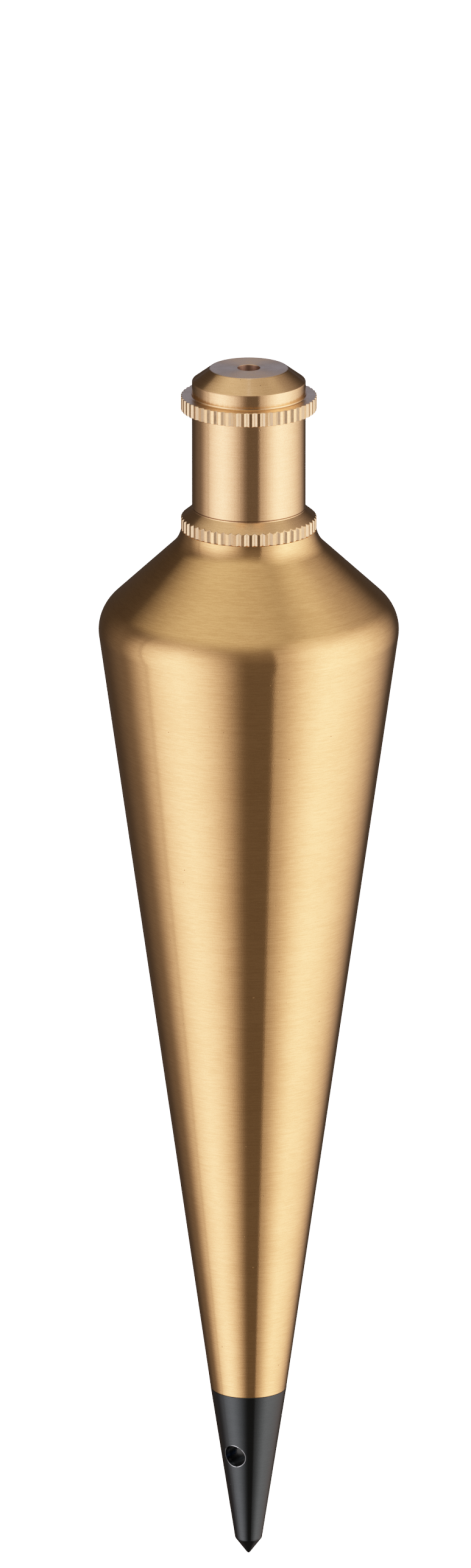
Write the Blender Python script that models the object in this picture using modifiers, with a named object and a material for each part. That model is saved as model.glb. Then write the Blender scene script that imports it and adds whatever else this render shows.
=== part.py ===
"""Surveyor's plumb bob in three turned pieces: a brass cap that holds the cord, a heavy brass body and a
blackened steel tip. All three share the Z axis. The cap screws into the top of the body and the tip into
its bottom end.

Metres, +Z up. The origin is the middle of the cap's flat top face, where the cord leaves the bob, so the
whole bob hangs below z = 0. -Y is the front.
"""

import math

import bmesh
import bpy
from mathutils import Matrix

MM = 0.001
GAP = 0.3 * MM  # free space between two pieces that touch on the real bob

# Driving dimensions
TOTAL_LENGTH = 155.5 * MM
BODY_RADIUS = 18.65 * MM
NECK_RADIUS = 7.05 * MM
GRIP_RADIUS = 8.42 * MM  # over the lands of both knurled rings
FACE_RADIUS = 4.83 * MM  # flat top face of the cap
CORD_HOLE_RADIUS = 1.38 * MM

# Levels on the cap, measured down from its top face
CROWN_END = 1.67 * MM  # foot of the crown's chamfer
FLANGE_TOP = 3.48 * MM
FLANGE_END = 5.24 * MM
NECK_END = 17.99 * MM
COLLAR_EDGE = 19.12 * MM  # foot of the collar's chamfer
COLLAR_END = 20.60 * MM  # the collar sits on the body here
TIP_JOINT = 133.20 * MM  # the body's small end

# Screwed joints, with the threads as plain cylinders at their nominal size
CAP_THREAD_RADIUS = 5.0 * MM
CAP_THREAD_LENGTH = 9.0 * MM
TIP_THREAD_RADIUS = 3.0 * MM
TIP_THREAD_LENGTH = 8.0 * MM
THREAD_CHAMFER = 0.5 * MM
SOCKET_CLEARANCE = 1.2 * MM  # from a thread's end to the bottom of its socket
DRILL_HALF_ANGLE = math.radians(59.0)

# Room for the cord's knot, bored up into the cap from its threaded end
KNOT_BORE_RADIUS = 3.3 * MM
KNOT_BORE_TOP = 5.0 * MM

# Outline of the body
TOP_FILLET_RADIUS = 4.0 * MM
TOP_FILLET_START = 8.36 * MM  # radius at which the fillet runs straight up
CONE_SLOPE = math.radians(43.4)  # of the shoulder's cone, above the horizontal
SHOULDER_RADIUS = 5.08 * MM
WIDEST_LEVEL = 33.70 * MM
BODY_TAPER = math.radians(7.96)  # of one side, from the axis

# Outline of the tip
TIP_TAPER = math.radians(8.68)
POINT_LENGTH = 2.1 * MM
POINT_FLAT_RADIUS = 0.17 * MM
BAR_HOLE_RADIUS = 1.43 * MM  # cross hole for the bar that turns the tip
BAR_HOLE_DROP = 8.38 * MM  # from the joint down to the hole's axis
BAR_HOLE_TURN = math.radians(31.0)  # from the front towards -X

# Straight knurl: V grooves all round, with flat lands between them
TOOTH_COUNT = 53
GROOVE_DEPTH = 0.2 * MM
GROOVE_WIDTH = 0.62 * MM
FIRST_GROOVE_TURN = math.radians(-1.75)  # the groove nearest the front, positive towards +X
CUTTER_REACH = 2.0  # height of the groove cutter in groove depths, so that it stands outside the rings

BODY_STEPS = 64
TIP_STEPS = 48
BAR_HOLE_SIDES = 24
ARC_STEP = math.radians(9.0)
SHARP_ANGLE = math.radians(30.0)
MERGE_DISTANCE = 0.00001


def clear_scene():
    for obj in list(bpy.data.objects):
        bpy.data.objects.remove(obj, do_unlink=True)


def new_collection(name):
    collection = bpy.data.collections.new(name)
    bpy.context.scene.collection.children.link(collection)
    return collection


def metal(name, colour, roughness):
    material = bpy.data.materials.new(name)
    material.use_nodes = True
    shader = material.node_tree.nodes["Principled BSDF"]
    shader.inputs["Base Color"].default_value = (*colour, 1.0)
    shader.inputs["Roughness"].default_value = roughness
    shader.inputs["Metallic"].default_value = 1.0
    return material


def on_circle(centre, radius, angle):
    """The point (r, z) of a circle at an angle from +r towards +z."""
    return centre[0] + radius * math.cos(angle), centre[1] + radius * math.sin(angle)


def arc(centre, radius, start, end):
    """Points (r, z) on an arc from the angle start to the angle end."""
    count = math.ceil(abs(end - start) / ARC_STEP)
    angles = [start + (end - start) * i / count for i in range(count + 1)]
    return [on_circle(centre, radius, angle) for angle in angles]


def turned(name, profile, steps, start_turn, closed, collection):
    """An object turned about Z from a profile of (r, z) points that runs down its outer side."""
    mesh = bpy.data.meshes.new(name)
    edges = [(i, i + 1) for i in range(len(profile) - 1)]
    if closed:
        edges.append((len(profile) - 1, 0))
    mesh.from_pydata([(r, 0.0, z) for r, z in profile], edges, [])
    mesh.transform(Matrix.Rotation(start_turn, 4, "Z"))
    obj = bpy.data.objects.new(name, mesh)
    collection.objects.link(obj)
    screw = obj.modifiers.new("Turn", "SCREW")
    screw.axis = "Z"
    screw.angle = 2.0 * math.pi
    screw.steps = steps
    screw.render_steps = steps
    screw.use_merge_vertices = True
    screw.merge_threshold = MERGE_DISTANCE
    return obj


def cut(obj, cutter):
    cutter.hide_render = True
    cutter.display_type = "WIRE"
    boolean = obj.modifiers.new("Cut " + cutter.name, "BOOLEAN")
    boolean.operation = "DIFFERENCE"
    boolean.solver = "EXACT"
    boolean.object = cutter


def finish(obj, material):
    """Turn the modifiers into a mesh, shade its round faces smooth and give it its material."""
    bpy.context.view_layer.update()
    depsgraph = bpy.context.evaluated_depsgraph_get()
    mesh = bpy.data.meshes.new_from_object(obj.evaluated_get(depsgraph))
    obj.modifiers.clear()
    obj.data = mesh
    mesh.name = obj.name
    mesh.shade_smooth()
    mesh.set_sharp_from_angle(angle=SHARP_ANGLE)
    mesh.materials.clear()
    mesh.materials.append(material)


def knurl_cutter(collection):
    """All the V grooves of both rings in one cutter. They run past both rings, clear of the neck."""
    mesh = bpy.data.meshes.new("knurl_cutter")
    grooves = bmesh.new()
    half_width = CUTTER_REACH * GROOVE_WIDTH / 2.0
    outer_radius = GRIP_RADIUS + (CUTTER_REACH - 1.0) * GROOVE_DEPTH
    for tooth in range(TOOTH_COUNT):
        turn = FIRST_GROOVE_TURN - math.pi / 2.0 + 2.0 * math.pi * tooth / TOOTH_COUNT
        section = [
            (GRIP_RADIUS - GROOVE_DEPTH, 0.0),
            (outer_radius, -half_width),
            (outer_radius, half_width),
        ]
        corners = [grooves.verts.new((x, y, -COLLAR_END - GAP)) for x, y in section]
        base = grooves.faces.new(corners)
        bmesh.ops.rotate(grooves, verts=corners, matrix=Matrix.Rotation(turn, 3, "Z"))
        wall = bmesh.ops.extrude_face_region(grooves, geom=[base])
        moved = [item for item in wall["geom"] if isinstance(item, bmesh.types.BMVert)]
        bmesh.ops.translate(grooves, verts=moved, vec=(0.0, 0.0, COLLAR_END - CROWN_END))
    bmesh.ops.recalc_face_normals(grooves, faces=grooves.faces)
    grooves.to_mesh(mesh)
    grooves.free()
    cutter = bpy.data.objects.new("knurl_cutter", mesh)
    collection.objects.link(cutter)
    return cutter


def bar_hole_cutter(collection):
    mesh = bpy.data.meshes.new("bar_hole_cutter")
    bar = bmesh.new()
    bmesh.ops.create_cone(
        bar,
        cap_ends=True,
        segments=BAR_HOLE_SIDES,
        radius1=BAR_HOLE_RADIUS,
        radius2=BAR_HOLE_RADIUS,
        depth=2.0 * BODY_RADIUS,
    )
    bar.to_mesh(mesh)
    bar.free()
    cutter = bpy.data.objects.new("bar_hole_cutter", mesh)
    cutter.rotation_euler = (math.pi / 2.0, 0.0, -BAR_HOLE_TURN)
    cutter.location = (0.0, 0.0, -TIP_JOINT - BAR_HOLE_DROP)
    collection.objects.link(cutter)
    return cutter


def body_radius_at(level):
    """Radius of the body's long taper at a level below its widest place."""
    tangent_radius = BODY_RADIUS - SHOULDER_RADIUS * (1.0 - math.cos(BODY_TAPER))
    tangent_level = WIDEST_LEVEL + SHOULDER_RADIUS * math.sin(BODY_TAPER)
    return tangent_radius - (level - tangent_level) * math.tan(BODY_TAPER)


def socket(radius, depth):
    """Profile of a drilled socket with its mouth at z = 0, from the bottom of the hole to the mouth."""
    return [(0.0, -depth - radius / math.tan(DRILL_HALF_ANGLE)), (radius, -depth), (radius, 0.0)]


def make_cap(parts, cutters, material):
    """Crown, knurled flange, neck, knurled collar and threaded end in one piece, bored for the cord."""
    thread_end = COLLAR_END + CAP_THREAD_LENGTH
    bore_taper = (KNOT_BORE_RADIUS - CORD_HOLE_RADIUS) / math.tan(DRILL_HALF_ANGLE)
    outside = [
        (CORD_HOLE_RADIUS, 0.0),
        (FACE_RADIUS, 0.0),
        (NECK_RADIUS, -CROWN_END),
        (NECK_RADIUS, -FLANGE_TOP),
        (GRIP_RADIUS, -FLANGE_TOP),
        (GRIP_RADIUS, -FLANGE_END),
        (NECK_RADIUS, -FLANGE_END),
        (NECK_RADIUS, -NECK_END),
        (GRIP_RADIUS, -COLLAR_EDGE),
        (GRIP_RADIUS, -COLLAR_END),
        (CAP_THREAD_RADIUS, -COLLAR_END),
        (CAP_THREAD_RADIUS, -thread_end + THREAD_CHAMFER),
        (CAP_THREAD_RADIUS - THREAD_CHAMFER, -thread_end),
    ]
    bore = [
        (KNOT_BORE_RADIUS + THREAD_CHAMFER, -thread_end),
        (KNOT_BORE_RADIUS, -thread_end + THREAD_CHAMFER),
        (KNOT_BORE_RADIUS, -KNOT_BORE_TOP),
        (CORD_HOLE_RADIUS, -KNOT_BORE_TOP + bore_taper),
    ]
    half_tooth = math.pi / TOOTH_COUNT
    first_land = FIRST_GROOVE_TURN - math.pi / 2.0 + half_tooth
    cap = turned("cap", outside + bore, TOOTH_COUNT, first_land, True, parts)
    cut(cap, knurl_cutter(cutters))
    finish(cap, material)


def make_body(parts, material):
    """Heavy body from the fillet under the collar to the tip joint, with a threaded socket at each end."""
    top = COLLAR_END + GAP
    bottom = TIP_JOINT - GAP / 2.0
    normal = math.pi / 2.0 - CONE_SLOPE  # of the cone's surface, above the horizontal
    shoulder_centre = (BODY_RADIUS - SHOULDER_RADIUS, -WIDEST_LEVEL)
    cone_foot = on_circle(shoulder_centre, SHOULDER_RADIUS, normal)
    fillet_r = TOP_FILLET_START + TOP_FILLET_RADIUS
    fillet_z = cone_foot[1] + (
        TOP_FILLET_RADIUS + (cone_foot[0] - fillet_r) * math.cos(normal)
    ) / math.sin(normal)
    fillet_top = math.pi + math.asin((fillet_z + top) / TOP_FILLET_RADIUS)
    cap_socket = socket(CAP_THREAD_RADIUS + GAP, CAP_THREAD_LENGTH + SOCKET_CLEARANCE)
    tip_socket = socket(TIP_THREAD_RADIUS + GAP, TIP_THREAD_LENGTH + SOCKET_CLEARANCE)
    profile = [(r, z - top) for r, z in cap_socket]
    profile += arc((fillet_r, fillet_z), TOP_FILLET_RADIUS, fillet_top, math.pi + normal)
    profile += arc(shoulder_centre, SHOULDER_RADIUS, normal, -BODY_TAPER)
    profile += [(body_radius_at(bottom), -bottom)]
    profile += [(r, -bottom - z) for r, z in reversed(tip_socket)]
    body = turned("body", profile, BODY_STEPS, 0.0, False, parts)
    finish(body, material)


def make_tip(parts, cutters, material):
    """Hardened tip with a threaded stud above and a cross hole for a bar. Its origin is at its shoulder."""
    shoulder = TIP_JOINT + GAP / 2.0
    shoulder_radius = body_radius_at(TIP_JOINT) - GAP / 2.0 * math.tan(TIP_TAPER)
    length = TOTAL_LENGTH - shoulder
    taper_length = length - POINT_LENGTH
    profile = [
        (0.0, TIP_THREAD_LENGTH),
        (TIP_THREAD_RADIUS - THREAD_CHAMFER, TIP_THREAD_LENGTH),
        (TIP_THREAD_RADIUS, TIP_THREAD_LENGTH - THREAD_CHAMFER),
        (TIP_THREAD_RADIUS, 0.0),
        (shoulder_radius, 0.0),
        (shoulder_radius - taper_length * math.tan(TIP_TAPER), -taper_length),
        (POINT_FLAT_RADIUS, -length),
        (0.0, -length),
    ]
    tip = turned("tip", profile, TIP_STEPS, 0.0, False, parts)
    tip.location = (0.0, 0.0, -shoulder)
    cut(tip, bar_hole_cutter(cutters))
    finish(tip, material)


def main():
    clear_scene()
    parts = new_collection("plumb_bob")
    cutters = new_collection("cutters")
    brass = metal("turned_brass", (0.72, 0.52, 0.27), 0.28)
    body_brass = metal("body_brass", (0.70, 0.49, 0.25), 0.28)
    black_steel = metal("black_steel", (0.06, 0.06, 0.06), 0.32)
    make_cap(parts, cutters, brass)
    make_body(parts, body_brass)
    make_tip(parts, cutters, black_steel)


main()
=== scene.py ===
"""Looks of a turned plumb bob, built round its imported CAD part.

The three CAD nodes are replaced by finer meshes of the same size: the cap with its knurled rings and
threaded end, the body with its threaded sockets, and the blackened tip with its cross hole. Each mesh is
turned about the Z axis from a profile of (r, z) points. -Y is the front.
"""

import math

import bmesh
import bpy
from mathutils import Matrix, Vector


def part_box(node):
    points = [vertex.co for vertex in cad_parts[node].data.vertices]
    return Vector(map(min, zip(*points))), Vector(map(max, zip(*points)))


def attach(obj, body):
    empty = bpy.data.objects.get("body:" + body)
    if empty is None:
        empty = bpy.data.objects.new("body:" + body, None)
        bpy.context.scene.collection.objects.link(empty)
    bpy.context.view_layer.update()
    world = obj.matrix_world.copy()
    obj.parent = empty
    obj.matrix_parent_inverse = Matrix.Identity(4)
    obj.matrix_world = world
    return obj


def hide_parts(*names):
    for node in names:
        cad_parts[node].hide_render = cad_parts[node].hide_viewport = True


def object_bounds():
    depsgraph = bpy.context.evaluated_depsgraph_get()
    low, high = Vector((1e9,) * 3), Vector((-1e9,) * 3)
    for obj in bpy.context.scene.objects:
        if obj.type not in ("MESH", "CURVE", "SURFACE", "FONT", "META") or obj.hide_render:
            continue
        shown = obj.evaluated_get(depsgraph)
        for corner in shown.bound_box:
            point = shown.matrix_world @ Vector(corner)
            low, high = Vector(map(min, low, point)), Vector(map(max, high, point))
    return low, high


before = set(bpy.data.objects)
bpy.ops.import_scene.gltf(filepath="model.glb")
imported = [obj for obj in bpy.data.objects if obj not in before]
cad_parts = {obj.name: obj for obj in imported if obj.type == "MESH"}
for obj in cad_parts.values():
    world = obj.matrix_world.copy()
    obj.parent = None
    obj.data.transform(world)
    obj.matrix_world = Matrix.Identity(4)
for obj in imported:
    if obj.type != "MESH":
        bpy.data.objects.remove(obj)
CAD_LOW, CAD_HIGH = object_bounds()

TOP = CAD_HIGH.z
LENGTH = CAD_HIGH.z - CAD_LOW.z
MM = LENGTH / 155.5  # one millimetre of the real bob

# Sizes read from the CAD part
BODY_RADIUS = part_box("body")[1].x
CAD_GAP = 0.3 * MM
COLLAR_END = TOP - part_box("body")[1].z - CAD_GAP
TIP_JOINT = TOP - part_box("body")[0].z + CAD_GAP / 2.0
CAP_THREAD_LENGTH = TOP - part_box("cap")[0].z - COLLAR_END
TIP_THREAD_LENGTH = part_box("tip")[1].z - (TOP - TIP_JOINT - CAD_GAP / 2.0)

# Levels on the cap, measured down from its top face
CROWN_END = 1.67 * MM
FLANGE_TOP = 3.48 * MM
FLANGE_END = 5.24 * MM
NECK_END = 17.99 * MM
COLLAR_EDGE = 19.12 * MM

NECK_RADIUS = 7.05 * MM
GRIP_RADIUS = 8.42 * MM
FACE_RADIUS = 4.83 * MM
CORD_HOLE_RADIUS = 1.38 * MM
CORD_HOLE_EDGE = 0.05 * MM
KNOT_BORE_RADIUS = 3.3 * MM
KNOT_BORE_TOP = 5.0 * MM
KNOT_BORE_CHAMFER = 0.4 * MM
CROWN_FILLET = 0.15 * MM  # where the crown stands on the flange
CROWN_FILLET_MIDDLE = 0.04 * MM
FLANGE_FILLET = 0.12 * MM  # where the neck meets the flange
DRILL_HALF_ANGLE = math.radians(59.0)

# A fine groove round the foot of the neck, measured up from it
UNDERCUT_TOP = 0.26 * MM
UNDERCUT_FOOT = 0.10 * MM
UNDERCUT_DEPTH = 0.06 * MM
UNDERCUT_WALL = 0.04 * MM

# Outline of the body
TOP_FILLET_RADIUS = 4.0 * MM
TOP_FILLET_START = 8.36 * MM
CONE_SLOPE = math.radians(43.4)
SHOULDER_RADIUS = 5.08 * MM
WIDEST_LEVEL = 33.70 * MM
BODY_TAPER = math.radians(7.96)

# Outline of the tip
TIP_TAPER = math.radians(8.68)
POINT_LENGTH = 2.1 * MM
POINT_FLAT_RADIUS = 0.17 * MM
BAR_HOLE_RADIUS = 1.43 * MM
BAR_HOLE_LEVEL = TOP - TIP_JOINT - 8.38 * MM
BAR_HOLE_TURN = math.radians(31.0)
BAR_HOLE_CHAMFER = 0.08 * MM
BAR_HOLE_CUTTER_REACH = 10.0 * MM
BAR_HOLE_STEPS = 96

# Screw threads: a male crest stays inside the female one, so that the joints slide clear
CAP_THREAD_RADIUS = 5.0 * MM
TIP_THREAD_RADIUS = 3.0 * MM
THREAD_PITCH = 1.0 * MM
THREAD_DEPTH = 0.55 * MM
THREAD_PLAY = 0.15 * MM
THREAD_CHAMFER = 0.6 * MM
THREAD_ROWS_PER_PITCH = 10
CREST_SHARE = 0.12  # of half a pitch, flat at the crest
FLANK_SHARE = 0.72
CAP_THREAD_RELIEF = 1.0 * MM  # plain stretch between a shoulder and its thread
TIP_THREAD_RELIEF = 0.8 * MM
SOCKET_CLEARANCE = 1.2 * MM
SOCKET_MOUTH = 0.1 * MM
SOCKET_RUN_OUT = 0.8 * MM

# Straight knurl
TOOTH_COUNT = 53
GROOVE_DEPTH = 0.2 * MM
GROOVE_WIDTH = 0.62 * MM
ROOT_SHARE = 0.05  # of the groove's width, flat at its root
FIRST_GROOVE_TURN = math.radians(-1.75)

EDGE = 0.07 * MM  # break of a turned edge
KNURL_EDGE = 0.04 * MM
HOLD = 0.1 * MM  # from an edge to the row of points that keeps a long face flat
JOINT_SEAM = 0.02 * MM  # what shows between two tightened pieces
TURN_STEPS = 256
ARC_STEP = math.radians(3.0)
SHARP_ANGLE = math.radians(28.0)
ON_AXIS = 1e-9

# Camera and floor
CAMERA_LENS = 407.0
CAMERA_DISTANCE = 2215.0 * MM
CAMERA_RISE = math.radians(17.9)
CAMERA_AIM_UP = 22.77 * MM  # from the middle of the bob
CAMERA_AIM_LEFT = 1.65 * MM
FLOOR_RADIUS = 6.0
FLOOR_DROP = 60.0 * MM  # below the point, so that the tip can come out
FLOOR_STEPS = 64

WHITE_LEVEL = 3.2  # light of this strength or more comes out pure white
TONE_STEPS = 12


def on_circle(centre, radius, angle):
    return centre[0] + radius * math.cos(angle), centre[1] + radius * math.sin(angle)


def arc(centre, radius, start, end):
    """Points (r, z) on an arc from the angle start to the angle end, both from +r towards +z."""
    count = max(2, math.ceil(abs(end - start) / ARC_STEP))
    return [on_circle(centre, radius, start + (end - start) * i / count) for i in range(count + 1)]


def between(start, end, share):
    return start[0] + (end[0] - start[0]) * share, start[1] + (end[1] - start[1]) * share


def held(profile):
    """The profile with a point added near both ends of each long stretch, to keep its shading flat."""
    points = [profile[0]]
    for start, end in zip(profile, profile[1:]):
        length = math.dist(start, end)
        if length > 4.0 * HOLD:
            points.append(between(start, end, HOLD / length))
            points.append(between(start, end, 1.0 - HOLD / length))
        points.append(end)
    return points


def even_turns(steps=TURN_STEPS):
    return [2.0 * math.pi * i / steps for i in range(steps)]


def new_object(name, vertices, faces):
    mesh = bpy.data.meshes.new(name)
    mesh.from_pydata([tuple(v) for v in vertices], [], faces)
    mesh.update()
    obj = bpy.data.objects.new(name, mesh)
    bpy.context.scene.collection.objects.link(obj)
    return obj


def shade(obj):
    obj.data.shade_smooth()
    obj.data.set_sharp_from_angle(angle=SHARP_ANGLE)


def turned_columns(name, columns, turns, closed):
    """A mesh from one profile (r, z) per column, each turned to its own angle about Z.

    A closed profile is joined end to start. An open one starts and ends on the axis."""
    rows = len(columns[0])
    count = len(columns)
    vertices = []
    index = {}
    for c, (column, turn) in enumerate(zip(columns, turns)):
        for k, (r, z) in enumerate(column):
            if r < ON_AXIS:
                key = ("axis", k)
                if key not in index:
                    index[key] = len(vertices)
                    vertices.append((0.0, 0.0, z))
                index[(c, k)] = index[key]
            else:
                index[(c, k)] = len(vertices)
                vertices.append((r * math.sin(turn), -r * math.cos(turn), z))
    faces = []
    last = rows if closed else rows - 1
    for c in range(count):
        d = (c + 1) % count
        for k in range(last):
            m = (k + 1) % rows
            corners = [index[(c, k)], index[(c, m)], index[(d, m)], index[(d, k)]]
            corners = list(dict.fromkeys(corners))
            if len(corners) > 2:
                faces.append(corners)
    return new_object(name, vertices, faces)


def turned(name, profile, steps):
    return turned_columns(name, [profile] * steps, even_turns(steps), False)


def knurl_columns():
    """(turn, radius) of each column round a knurled ring: V grooves, and lands between them."""
    half_groove = GROOVE_WIDTH / 2.0 / GRIP_RADIUS
    half_root = ROOT_SHARE * half_groove
    root = GRIP_RADIUS - GROOVE_DEPTH
    tooth_turn = 2.0 * math.pi / TOOTH_COUNT
    columns = []
    for tooth in range(TOOTH_COUNT):
        middle = FIRST_GROOVE_TURN + tooth * tooth_turn
        columns.append((middle - half_root, root))
        columns.append((middle + half_root, root))
        columns.append((middle + half_groove, GRIP_RADIUS))
        columns.append((middle + 0.5 * tooth_turn, GRIP_RADIUS))
        columns.append((middle + tooth_turn - half_groove, GRIP_RADIUS))
    return columns


def thread_radius(turn, z, crest, root):
    """Radius of a V thread at a turn and a height, between its crest and its root."""
    phase = (z / THREAD_PITCH - turn / (2.0 * math.pi)) % 1.0
    share = min(1.0, max(0.0, (abs(phase - 0.5) * 2.0 - CREST_SHARE) / FLANK_SHARE))
    return crest + (root - crest) * share


def threaded_rows(turn, start, end, crest, root, start_radius, end_radius):
    """Rows (r, z) of a thread between two heights, run out to a plain radius at each end."""
    count = math.ceil(abs(start - end) / THREAD_PITCH * THREAD_ROWS_PER_PITCH)
    rows = []
    for i in range(count + 1):
        z = start + (end - start) * i / count
        r = thread_radius(turn, z, crest, root)
        reach_start = abs(z - start) / THREAD_CHAMFER
        reach_end = abs(z - end) / THREAD_CHAMFER
        if reach_start < 1.0:
            r = r * reach_start + start_radius * (1.0 - reach_start)
        if reach_end < 1.0:
            r = r * reach_end + end_radius * (1.0 - reach_end)
        rows.append((r, z))
    return rows


def cap_outside(grip):
    """The cap's outline from the cord hole down to its thread, where the knurl has the radius grip."""
    share = (grip - NECK_RADIUS) / (GRIP_RADIUS - NECK_RADIUS)
    arch = NECK_END + share * (COLLAR_EDGE - NECK_END)
    return [
        (CORD_HOLE_RADIUS + CORD_HOLE_EDGE, 0.0),
        (FACE_RADIUS - EDGE, 0.0),
        (FACE_RADIUS + 0.5 * EDGE, -0.6 * EDGE),
        (NECK_RADIUS - 0.7 * EDGE, -CROWN_END + 0.5 * EDGE),
        (NECK_RADIUS, -CROWN_END - EDGE),
        (NECK_RADIUS, -FLANGE_TOP + CROWN_FILLET),
        (NECK_RADIUS + CROWN_FILLET_MIDDLE, -FLANGE_TOP + CROWN_FILLET_MIDDLE),
        (NECK_RADIUS + CROWN_FILLET, -FLANGE_TOP),
        (grip - KNURL_EDGE, -FLANGE_TOP),
        (grip, -FLANGE_TOP - KNURL_EDGE),
        (grip, -FLANGE_END + KNURL_EDGE),
        (grip - KNURL_EDGE, -FLANGE_END),
        (NECK_RADIUS + FLANGE_FILLET, -FLANGE_END),
        (NECK_RADIUS, -FLANGE_END - FLANGE_FILLET),
        (NECK_RADIUS, -NECK_END + UNDERCUT_TOP),
        (NECK_RADIUS - UNDERCUT_DEPTH, -NECK_END + UNDERCUT_TOP - UNDERCUT_WALL),
        (NECK_RADIUS - UNDERCUT_DEPTH, -NECK_END + UNDERCUT_FOOT + UNDERCUT_WALL),
        (NECK_RADIUS, -NECK_END + UNDERCUT_FOOT),
        (NECK_RADIUS, -NECK_END),
        (grip - KNURL_EDGE, -arch + 0.9 * KNURL_EDGE),
        (grip, -arch - KNURL_EDGE),
        (grip, -COLLAR_END + KNURL_EDGE),
        (grip - KNURL_EDGE, -COLLAR_END),
        (CAP_THREAD_RADIUS, -COLLAR_END),
        (CAP_THREAD_RADIUS - THREAD_DEPTH, -COLLAR_END),
    ]


def make_cap():
    bore_taper = (KNOT_BORE_RADIUS - CORD_HOLE_RADIUS) / math.tan(DRILL_HALF_ANGLE)
    thread_start = COLLAR_END + CAP_THREAD_RELIEF
    thread_end = COLLAR_END + CAP_THREAD_LENGTH
    crest = CAP_THREAD_RADIUS
    root = CAP_THREAD_RADIUS - THREAD_DEPTH
    inside = [
        (KNOT_BORE_RADIUS + KNOT_BORE_CHAMFER, -thread_end),
        (KNOT_BORE_RADIUS, -thread_end + KNOT_BORE_CHAMFER),
        (KNOT_BORE_RADIUS, -KNOT_BORE_TOP),
        (CORD_HOLE_RADIUS, -KNOT_BORE_TOP + bore_taper),
        (CORD_HOLE_RADIUS, -CORD_HOLE_EDGE),
    ]
    columns = []
    turns = []
    for turn, grip in knurl_columns():
        thread = threaded_rows(turn, -thread_start, -thread_end, crest, root, root, root)
        columns.append(held(cap_outside(grip)) + thread + inside)
        turns.append(turn)
    cap = turned_columns("cap_turned", columns, turns, True)
    shade(cap)
    return cap


def body_radius_at(level):
    tangent_radius = BODY_RADIUS - SHOULDER_RADIUS * (1.0 - math.cos(BODY_TAPER))
    tangent_level = WIDEST_LEVEL + SHOULDER_RADIUS * math.sin(BODY_TAPER)
    return tangent_radius - (level - tangent_level) * math.tan(BODY_TAPER)


def socket_rows(turn, mouth, direction, radius, depth):
    """Rows of a tapped hole from its mouth to the drill point at its bottom, on the axis."""
    minor = radius + THREAD_PLAY
    major = minor + THREAD_DEPTH
    start = mouth + direction * SOCKET_MOUTH
    end = mouth + direction * (depth - SOCKET_RUN_OUT)
    rows = [(major + SOCKET_MOUTH, mouth)]
    rows += threaded_rows(turn, start, end, minor, major, major, minor)
    rows.append((minor, mouth + direction * depth))
    rows.append((0.0, mouth + direction * (depth + minor / math.tan(DRILL_HALF_ANGLE))))
    return rows


def make_body():
    top = COLLAR_END + JOINT_SEAM
    bottom = TIP_JOINT - JOINT_SEAM / 2.0
    normal = math.pi / 2.0 - CONE_SLOPE
    shoulder_centre = (BODY_RADIUS - SHOULDER_RADIUS, -WIDEST_LEVEL)
    cone_foot = on_circle(shoulder_centre, SHOULDER_RADIUS, normal)
    fillet_r = TOP_FILLET_START + TOP_FILLET_RADIUS
    fillet_z = cone_foot[1] + (
        TOP_FILLET_RADIUS + (cone_foot[0] - fillet_r) * math.cos(normal)
    ) / math.sin(normal)
    fillet_top = math.pi + math.asin((fillet_z + top) / TOP_FILLET_RADIUS)
    outside = arc((fillet_r, fillet_z), TOP_FILLET_RADIUS, fillet_top, math.pi + normal)
    outside += arc(shoulder_centre, SHOULDER_RADIUS, normal, -BODY_TAPER)
    outside.append((body_radius_at(bottom), -bottom))
    cap_depth = CAP_THREAD_LENGTH + SOCKET_CLEARANCE
    tip_depth = TIP_THREAD_LENGTH + SOCKET_CLEARANCE
    columns = []
    for turn in even_turns():
        cap_socket = socket_rows(turn, -top, -1.0, CAP_THREAD_RADIUS, cap_depth)
        tip_socket = socket_rows(turn, -bottom, 1.0, TIP_THREAD_RADIUS, tip_depth)
        columns.append(list(reversed(cap_socket)) + outside + tip_socket)
    body = turned_columns("body_turned", columns, even_turns(), False)
    shade(body)
    return body


def break_hole_rims(mesh):
    """A small chamfer round both ends of the cross hole."""

    def on_rim(edge):
        for vertex in edge.verts:
            x, y, z = vertex.co
            across = x * math.cos(BAR_HOLE_TURN) - y * math.sin(BAR_HOLE_TURN)
            if abs(math.hypot(across, z - BAR_HOLE_LEVEL) - BAR_HOLE_RADIUS) > 0.01 * MM:
                return False
        return edge.calc_face_angle(0.0) > SHARP_ANGLE

    bm = bmesh.new()
    bm.from_mesh(mesh)
    rim = [edge for edge in bm.edges if on_rim(edge)]
    bmesh.ops.bevel(bm, geom=rim, offset=BAR_HOLE_CHAMFER, segments=1, affect="EDGES", clamp_overlap=True)
    bm.to_mesh(mesh)
    bm.free()


def bar_hole_cutter():
    cutter = turned(
        "bar_hole",
        [
            (0.0, BAR_HOLE_CUTTER_REACH),
            (BAR_HOLE_RADIUS, BAR_HOLE_CUTTER_REACH),
            (BAR_HOLE_RADIUS, -BAR_HOLE_CUTTER_REACH),
            (0.0, -BAR_HOLE_CUTTER_REACH),
        ],
        BAR_HOLE_STEPS,
    )
    cutter.data.transform(Matrix.Rotation(math.pi / 2.0, 4, "X"))
    cutter.data.transform(Matrix.Rotation(-BAR_HOLE_TURN, 4, "Z"))
    cutter.data.transform(Matrix.Translation((0.0, 0.0, BAR_HOLE_LEVEL)))
    return cutter


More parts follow.
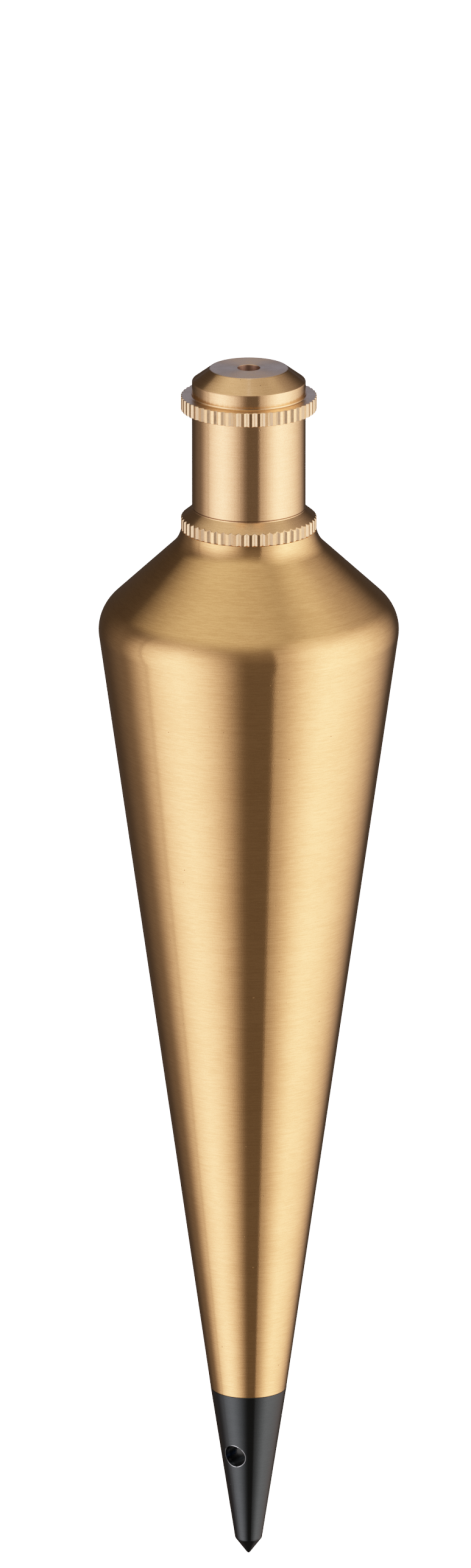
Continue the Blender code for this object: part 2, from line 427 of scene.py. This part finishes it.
def make_tip():
    shoulder = TIP_JOINT + JOINT_SEAM / 2.0
    shoulder_radius = body_radius_at(TIP_JOINT)
    taper_end = LENGTH - POINT_LENGTH
    taper_end_radius = shoulder_radius - (taper_end - shoulder) * math.tan(TIP_TAPER)
    stud_top = -shoulder + TIP_THREAD_LENGTH
    stud_foot = -shoulder + TIP_THREAD_RELIEF
    crest = TIP_THREAD_RADIUS
    root = TIP_THREAD_RADIUS - THREAD_DEPTH
    below = [
        (root, -shoulder),
        (shoulder_radius - EDGE, -shoulder),
        (shoulder_radius, -shoulder - EDGE),
        (taper_end_radius + 0.3 * EDGE, -taper_end + 1.5 * EDGE),
        (taper_end_radius - 0.5 * EDGE, -taper_end - 0.8 * EDGE),
        (POINT_FLAT_RADIUS + 0.05 * MM, -LENGTH + 0.09 * MM),
        (POINT_FLAT_RADIUS * 0.6, -LENGTH),
        (0.0, -LENGTH),
    ]
    columns = []
    for turn in even_turns():
        thread = threaded_rows(turn, stud_top, stud_foot, crest, root, root, root)
        columns.append([(0.0, stud_top)] + thread + held(below))
    tip = turned_columns("tip_turned", columns, even_turns(), False)

    cutter = bar_hole_cutter()
    boolean = tip.modifiers.new("Bar hole", "BOOLEAN")
    boolean.operation = "DIFFERENCE"
    boolean.solver = "EXACT"
    boolean.object = cutter
    bpy.context.view_layer.update()
    depsgraph = bpy.context.evaluated_depsgraph_get()
    mesh = bpy.data.meshes.new_from_object(tip.evaluated_get(depsgraph))
    tip.modifiers.clear()
    tip.data = mesh
    bpy.data.objects.remove(cutter, do_unlink=True)
    break_hole_rims(mesh)
    shade(tip)
    return tip


# ---------------------------------------------------------------- materials


class Nodes:
    """Short ways to add shader nodes to one tree."""

    def __init__(self, tree):
        self.tree = tree

    def add(self, kind, **settings):
        node = self.tree.nodes.new(kind)
        for name, value in settings.items():
            setattr(node, name, value)
        return node

    def link(self, source, target):
        self.tree.links.new(source, target)

    def math(self, operation, a, b=0.0):
        node = self.add("ShaderNodeMath", operation=operation)
        for socket, value in zip(node.inputs, (a, b)):
            if isinstance(value, (int, float)):
                socket.default_value = value
            else:
                self.link(value, socket)
        return node.outputs[0]

    def product(self, *factors):
        result = factors[0]
        for factor in factors[1:]:
            result = self.math("MULTIPLY", result, factor)
        return result

    def smooth(self, value, low, high, out_low=0.0, out_high=1.0):
        """A smooth step from out_low, at the value low, to out_high, at the value high."""
        node = self.add("ShaderNodeMapRange", interpolation_type="SMOOTHSTEP")
        self.link(value, node.inputs["Value"])
        node.inputs["From Min"].default_value = low
        node.inputs["From Max"].default_value = high
        node.inputs["To Min"].default_value = out_low
        node.inputs["To Max"].default_value = out_high
        return node.outputs[0]

    def noise(self, vector, scale, detail=2.0, roughness=0.5):
        node = self.add("ShaderNodeTexNoise")
        self.link(vector, node.inputs["Vector"])
        node.inputs["Scale"].default_value = scale
        node.inputs["Detail"].default_value = detail
        node.inputs["Roughness"].default_value = roughness
        return node.outputs["Fac"]

    def stretched(self, vector, scale):
        node = self.add("ShaderNodeVectorMath", operation="MULTIPLY")
        self.link(vector, node.inputs[0])
        node.inputs[1].default_value = scale
        return node.outputs[0]

    def split(self, vector):
        node = self.add("ShaderNodeSeparateXYZ")
        self.link(vector, node.inputs[0])
        return node.outputs

    def mix(self, factor, a, b):
        node = self.add("ShaderNodeMix", data_type="RGBA")
        self.link(factor, node.inputs["Factor"])
        for socket, value in ((node.inputs[6], a), (node.inputs[7], b)):
            if isinstance(value, tuple):
                socket.default_value = value
            else:
                self.link(value, socket)
        return node.outputs[2]


class TurnedMetal:
    """Metal finished on a lathe: short streaks and longer rings round Z, fine grain and a few pits."""

    ANISOTROPY = 0.8
    LONG_AROUND_Z = 0.25  # a quarter turn of the anisotropy
    STREAK_CELLS = (650.0, 650.0, 16000.0)  # a metre
    STREAK_DETAIL = 0.65
    RING_CELLS = (30.0, 30.0, 6000.0)
    CLOUD_CELLS = 170.0
    GRAIN_CELLS = 9000.0
    PIT_CELLS = 420.0
    PIT_CORE = 0.018  # of a cell
    PIT_EDGE = 0.036
    RING_SHARE = 0.15
    CLOUD_SHARE = 0.15
    BUMP_HEIGHT = 0.006 * MM

    def __init__(self, name, colour, streak_colour, pit_colour, roughness, streak_share, grain_share):
        self.material = bpy.data.materials.new(name)
        self.material.use_nodes = True
        self.nodes = Nodes(self.material.node_tree)
        self.shader = self.material.node_tree.nodes["Principled BSDF"]
        self.shader.inputs["Metallic"].default_value = 1.0
        self.shader.inputs["Anisotropic"].default_value = self.ANISOTROPY
        self.shader.inputs["Anisotropic Rotation"].default_value = self.LONG_AROUND_Z
        nodes = self.nodes
        self.place = nodes.add("ShaderNodeTexCoord").outputs["Object"]
        across_streaks = nodes.stretched(self.place, self.STREAK_CELLS)
        streaks = nodes.noise(across_streaks, 1.0, roughness=self.STREAK_DETAIL)
        rings = nodes.noise(nodes.stretched(self.place, self.RING_CELLS), 1.0)
        cloud = nodes.noise(self.place, self.CLOUD_CELLS, detail=3.0)
        grain = nodes.noise(self.place, self.GRAIN_CELLS, detail=1.0)
        pit_cells = nodes.add("ShaderNodeTexVoronoi")
        pit_cells.inputs["Scale"].default_value = self.PIT_CELLS
        nodes.link(self.place, pit_cells.inputs["Vector"])
        pits = nodes.smooth(pit_cells.outputs["Distance"], self.PIT_CORE, self.PIT_EDGE, 1.0, 0.0)

        tone = nodes.math("MULTIPLY", streaks, streak_share)
        for part, share in ((grain, grain_share), (rings, self.RING_SHARE), (cloud, self.CLOUD_SHARE)):
            tone = nodes.math("ADD", tone, nodes.math("MULTIPLY", part, share))
        self.base = nodes.mix(nodes.smooth(tone, 0.43, 0.57), (*colour, 1.0), (*streak_colour, 1.0))
        self.base = nodes.mix(pits, self.base, (*pit_colour, 1.0))
        self.gloss = nodes.smooth(streaks, 0.3, 0.7, roughness - 0.02, roughness + 0.03)
        height = nodes.math("ADD", nodes.math("MULTIPLY", streaks, 0.5), nodes.math("MULTIPLY", grain, 0.4))
        self.height = nodes.math("SUBTRACT", height, nodes.math("MULTIPLY", pits, 2.0))

    def radius(self):
        length = self.nodes.add("ShaderNodeVectorMath", operation="LENGTH")
        self.nodes.link(self.nodes.stretched(self.place, (1.0, 1.0, 0.0)), length.inputs[0])
        return length.outputs["Value"]

    def height_axis(self):
        return self.nodes.split(self.place)[2]

    def slope(self):
        """How far the surface faces up or down: 0 on a cylinder, 1 on a flat end."""
        normal = self.nodes.add("ShaderNodeNewGeometry").outputs["True Normal"]
        return self.nodes.math("ABSOLUTE", self.nodes.split(normal)[2])

    def band(self, value, low, high, soft):
        """1 where the value lies between low and high, 0 elsewhere."""
        rising = self.nodes.smooth(value, low - soft, low)
        falling = self.nodes.smooth(value, high, high + soft, 1.0, 0.0)
        return self.nodes.math("MULTIPLY", rising, falling)

    def blend(self, mask, colour, rougher):
        self.base = self.nodes.mix(mask, self.base, (*colour, 1.0))
        self.gloss = self.nodes.math("ADD", self.gloss, self.nodes.math("MULTIPLY", mask, rougher))

    def finish(self):
        nodes = self.nodes
        nodes.link(self.base, self.shader.inputs["Base Color"])
        nodes.link(self.gloss, self.shader.inputs["Roughness"])
        bump = nodes.add("ShaderNodeBump")
        bump.inputs["Distance"].default_value = self.BUMP_HEIGHT
        nodes.link(self.height, bump.inputs["Height"])
        nodes.link(bump.outputs["Normal"], self.shader.inputs["Normal"])
        tangent = nodes.add("ShaderNodeTangent", direction_type="RADIAL", axis="Z")
        nodes.link(tangent.outputs["Tangent"], self.shader.inputs["Tangent"])
        return self.material


def dull_knurl_painted_highlight(metal, slope):
    """The knurling wheel leaves the flanks of the grooves duller and a little patchy; their paler colour
    and lower metallic are a painted highlight, so that the flanks read bright cream.
    """
    nodes = metal.nodes
    root = GRIP_RADIUS - GROOVE_DEPTH
    in_groove = metal.band(metal.radius(), root - 0.02 * MM, GRIP_RADIUS - 0.02 * MM, 0.01 * MM)
    upright = nodes.smooth(slope, 0.1, 0.2, 1.0, 0.0)
    patches = nodes.smooth(nodes.noise(metal.place, 2600.0, detail=3.0), 0.36, 0.56, 0.75, 1.0)
    flanks = nodes.product(in_groove, upright, patches)
    # painted highlight: a paler colour on the groove flanks, which are also made rougher
    metal.blend(flanks, (1.0, 0.84, 0.58), 0.33)
    # painted highlight: the flanks are made less metallic, so that they pick up pale diffuse light
    nodes.link(nodes.smooth(flanks, 0.0, 1.0, 1.0, 0.6), metal.shader.inputs["Metallic"])


def undercut_painted_shade(metal):
    """Painted shade in the fine groove round the foot of the neck: the groove is coloured dark brown and
    made rougher.
    """
    nodes = metal.nodes
    foot = -NECK_END + UNDERCUT_FOOT
    top = -NECK_END + UNDERCUT_TOP
    level = metal.band(metal.height_axis(), foot, top, 0.01 * MM)
    inner = nodes.smooth(metal.radius(), NECK_RADIUS - UNDERCUT_DEPTH, NECK_RADIUS, 1.0, 0.0)
    # painted shade: dark brown colour in the undercut groove
    metal.blend(nodes.product(level, inner), (0.30, 0.20, 0.12), 0.3)


def cap_metal():
    metal = TurnedMetal(
        "cap_brass",
        colour=(0.90, 0.635, 0.355),
        streak_colour=(0.79, 0.545, 0.29),
        pit_colour=(0.22, 0.15, 0.08),
        roughness=0.14,
        streak_share=0.3,
        grain_share=0.4,
    )
    nodes = metal.nodes
    slope = metal.slope()
    flat_ends = nodes.smooth(slope, 0.8, 0.95)
    metal.gloss = nodes.math("ADD", metal.gloss, nodes.math("MULTIPLY", flat_ends, 0.14))
    dull_knurl_painted_highlight(metal, slope)
    # a drilled, duller cord hole
    edge = CORD_HOLE_RADIUS + 0.01 * MM
    drilled = nodes.smooth(metal.radius(), edge, edge + 0.02 * MM, 1.0, 0.0)
    metal.blend(drilled, (0.46, 0.31, 0.24), 0.36)
    undercut_painted_shade(metal)
    return metal.finish()


def body_metal():
    metal = TurnedMetal(
        "body_brass",
        colour=(0.90, 0.605, 0.28),
        streak_colour=(0.76, 0.495, 0.22),
        pit_colour=(0.22, 0.14, 0.07),
        roughness=0.13,
        streak_share=0.45,
        grain_share=0.25,
    )
    return metal.finish()


def tip_metal():
    metal = TurnedMetal(
        "tip_black",
        colour=(0.048, 0.064, 0.073),
        streak_colour=(0.042, 0.056, 0.064),
        pit_colour=(0.10, 0.13, 0.15),
        roughness=0.15,
        streak_share=0.35,
        grain_share=0.35,
    )
    nodes = metal.nodes
    # the rim of the cross hole is painted pale steel in broken patches: bare steel through the blackening,
    # and a painted highlight on the rim
    across = nodes.add("ShaderNodeVectorMath", operation="DOT_PRODUCT")
    nodes.link(metal.place, across.inputs[0])
    across.inputs[1].default_value = (math.cos(BAR_HOLE_TURN), -math.sin(BAR_HOLE_TURN), 0.0)
    across_squared = nodes.math("POWER", across.outputs["Value"], 2.0)
    up = nodes.math("SUBTRACT", metal.height_axis(), BAR_HOLE_LEVEL)
    up_squared = nodes.math("POWER", up, 2.0)
    from_axis = nodes.math("SQRT", nodes.math("ADD", across_squared, up_squared))
    rim = metal.band(from_axis, BAR_HOLE_RADIUS + 0.012 * MM, BAR_HOLE_RADIUS + 0.07 * MM, 0.02 * MM)
    outside = nodes.smooth(metal.radius(), 2.5 * MM, 2.8 * MM)
    rubbed_and_highlit = nodes.smooth(nodes.noise(metal.place, 900.0, detail=2.0), 0.38, 0.5)
    # bare steel and painted highlight: pale colour on the rim patches
    metal.blend(nodes.product(rim, outside, rubbed_and_highlit), (0.50, 0.62, 0.72), 0.05)
    return metal.finish()


# ---------------------------------------------------------------- studio
#
# In these lights, turn is the direction's angle round the bob in degrees, 0 in front and positive to the
# right, and rise is its angle above the level.


def left_panel(nodes, turn, rise):
    """A tall panel, with a narrow dark seam at its side, that reaches further round where it is low."""
    leaning = nodes.math("SUBTRACT", turn, nodes.math("MULTIPLY", rise, 0.18))
    far_side = nodes.smooth(leaning, -115.0, -52.0)
    far_glow = nodes.smooth(leaning, -147.0, -109.0, 0.0, 0.05)
    behind_seam = nodes.smooth(turn, -93.0, -91.0, 0.92, 0.62)
    before_seam = nodes.smooth(turn, -89.5, -87.5, 0.0, 0.38)
    return nodes.product(
        nodes.smooth(turn, -60.0, 0.0, 1.0, 0.0),
        nodes.math("ADD", far_side, far_glow),
        nodes.math("ADD", behind_seam, before_seam),
        nodes.smooth(rise, -5.0, 58.0, 1.0, 0.0),
        nodes.smooth(rise, -72.0, -48.0),
        nodes.smooth(rise, -40.0, -30.0, 0.85, 1.0),
        2.6,
    )


def right_panel(nodes, turn, rise):
    """A tall panel with a sharp near edge, which makes the right edge of the dark band in the metal."""
    leaning = nodes.math("ADD", turn, nodes.math("MULTIPLY", rise, 0.08))
    near_edge = nodes.smooth(turn, 20.0, 22.5, 0.0, 0.17)
    near_side = nodes.smooth(turn, 20.0, 68.0, 0.0, 0.83)
    return nodes.product(
        nodes.math("ADD", near_edge, near_side),
        nodes.smooth(leaning, 60.0, 158.0, 1.0, 0.0),
        nodes.smooth(rise, 15.0, 65.0, 1.0, 0.0),
        nodes.smooth(rise, -72.0, -48.0),
        nodes.smooth(rise, -42.0, -27.0, 0.6, 1.0),
        3.05,
    )


def overhead_light(nodes, x, forward, rise):
    """A wide light above, brighter to the left and at the far right, that ends sharply at the back left."""
    lean = nodes.math("ADD", nodes.math("MULTIPLY", x, -0.68), 0.8)
    far_right = nodes.product(nodes.smooth(x, 0.3, 0.65), nodes.smooth(forward, -0.45, -0.1), 0.8)
    lean = nodes.math("ADD", lean, far_right)
    back_left = nodes.product(
        nodes.smooth(forward, -0.60, -0.53, 1.0, 0.0),
        nodes.smooth(x, -0.2, 0.0, 0.8, 0.0),
    )
    return nodes.product(nodes.smooth(rise, 25.0, 70.0), lean, nodes.math("SUBTRACT", 1.0, back_left))


def front_fill(nodes, forward, rise):
    return nodes.product(nodes.smooth(forward, 0.6, 0.9), nodes.smooth(rise, 0.0, 30.0), 0.09)


def back_wall(nodes, turn, rise):
    """A cool wall behind the bob, which greys the flat end of the cap."""
    behind = nodes.smooth(nodes.math("ABSOLUTE", turn), 158.0, 172.0)
    return nodes.product(behind, nodes.smooth(rise, 4.0, 14.0), 0.5)


def room_glow(nodes, forward):
    return nodes.math("ADD", nodes.math("MULTIPLY", forward, 0.05), 0.11)


def make_world():
    """A soft studio that shows only in the metal and lights it. The camera itself sees plain white."""
    world = bpy.data.worlds.new("studio")
    bpy.context.scene.world = world
    world.use_nodes = True
    tree = world.node_tree
    tree.nodes.clear()
    nodes = Nodes(tree)
    x, y, z = nodes.split(nodes.add("ShaderNodeTexCoord").outputs["Generated"])
    forward = nodes.math("MULTIPLY", y, -1.0)
    turn = nodes.math("DEGREES", nodes.math("ARCTAN2", x, forward))
    rise = nodes.math("DEGREES", nodes.math("ARCSINE", z))

    total = None
    for light, tint in (
        (left_panel(nodes, turn, rise), (1.0, 0.78, 0.73)),
        (right_panel(nodes, turn, rise), (1.0, 0.77, 0.68)),
        (overhead_light(nodes, x, forward, rise), (1.0, 0.80, 0.63)),
        (room_glow(nodes, forward), (1.0, 0.73, 0.58)),
        (front_fill(nodes, forward, rise), (1.0, 0.75, 0.60)),
        (back_wall(nodes, turn, rise), (0.5, 0.62, 1.05)),
    ):
        tinted = nodes.add("ShaderNodeVectorMath", operation="SCALE")
        tinted.inputs[0].default_value = tint
        nodes.link(light, tinted.inputs["Scale"])
        if total is None:
            total = tinted.outputs[0]
        else:
            summed = nodes.add("ShaderNodeVectorMath", operation="ADD")
            nodes.link(total, summed.inputs[0])
            nodes.link(tinted.outputs[0], summed.inputs[1])
            total = summed.outputs[0]

    studio = nodes.add("ShaderNodeBackground")
    nodes.link(total, studio.inputs["Color"])
    surround = nodes.add("ShaderNodeBackground")
    surround.inputs["Strength"].default_value = WHITE_LEVEL
    surround.inputs["Color"].default_value = (1.0, 1.0, 1.0, 1.0)
    choice = nodes.add("ShaderNodeMixShader")
    nodes.link(nodes.add("ShaderNodeLightPath").outputs["Is Camera Ray"], choice.inputs[0])
    nodes.link(studio.outputs[0], choice.inputs[1])
    nodes.link(surround.outputs[0], choice.inputs[2])
    output = nodes.add("ShaderNodeOutputWorld")
    nodes.link(choice.outputs[0], output.inputs["Surface"])


def set_tone():
    """A soft film curve, so that bright metal pales towards white instead of clipping."""
    view = bpy.context.scene.view_settings
    view.view_transform = "Standard"
    view.use_curve_mapping = True
    mapping = view.curve_mapping
    mapping.white_level = (WHITE_LEVEL, WHITE_LEVEL, WHITE_LEVEL)
    combined_curve = mapping.curves[3]
    for i in range(1, TONE_STEPS):
        share = (i / TONE_STEPS) ** 2
        level = (1.0 - math.exp(-WHITE_LEVEL * share)) / (1.0 - math.exp(-WHITE_LEVEL))
        combined_curve.points.new(share, level)
    mapping.update()


def make_floor():
    """A plain pale floor under the bob."""
    depth = -LENGTH - FLOOR_DROP
    ring = [
        (FLOOR_RADIUS * math.cos(turn), FLOOR_RADIUS * math.sin(turn), depth)
        for turn in even_turns(FLOOR_STEPS)
    ]
    floor = new_object("floor", ring, [list(range(FLOOR_STEPS))])
    material = bpy.data.materials.new("pale_floor")
    material.use_nodes = True
    shader = material.node_tree.nodes["Principled BSDF"]
    shader.inputs["Base Color"].default_value = (0.9, 0.9, 0.9, 1.0)
    shader.inputs["Roughness"].default_value = 0.9
    shader.inputs["Emission Color"].default_value = (1.0, 1.0, 1.0, 1.0)
    shader.inputs["Emission Strength"].default_value = WHITE_LEVEL
    floor.data.materials.append(material)
    floor.visible_glossy = False
    floor.visible_diffuse = False


def make_camera():
    camera_data = bpy.data.cameras.new("camera")
    camera = bpy.data.objects.new("camera", camera_data)
    bpy.context.scene.collection.objects.link(camera)
    bpy.context.scene.camera = camera
    camera_data.sensor_width = 36.0
    camera_data.lens = CAMERA_LENS
    camera_data.clip_start = 0.1
    camera_data.clip_end = 50.0
    middle = Vector((0.0, 0.0, TOP - LENGTH / 2.0))
    back = Vector((0.0, -math.cos(CAMERA_RISE), math.sin(CAMERA_RISE)))
    up = Vector((0.0, math.sin(CAMERA_RISE), math.cos(CAMERA_RISE)))
    right = Vector((1.0, 0.0, 0.0))
    camera.location = middle + back * CAMERA_DISTANCE
    target = middle + up * CAMERA_AIM_UP - right * CAMERA_AIM_LEFT
    camera.rotation_mode = "QUATERNION"
    camera.rotation_quaternion = (target - camera.location).to_track_quat("-Z", "Y")


def main():
    cap = make_cap()
    body = make_body()
    tip = make_tip()
    for piece, material, body_name, node, slot in (
        (cap, cap_metal(), "cap", "cap", "cap_brass"),
        (body, body_metal(), "body", "body", "body_brass"),
        (tip, tip_metal(), "tip", "tip", "tip_steel"),
    ):
        piece.data.materials.append(material)
        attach(piece, body_name)
        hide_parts(node)
    make_floor()
    make_world()
    make_camera()
    set_tone()


main()
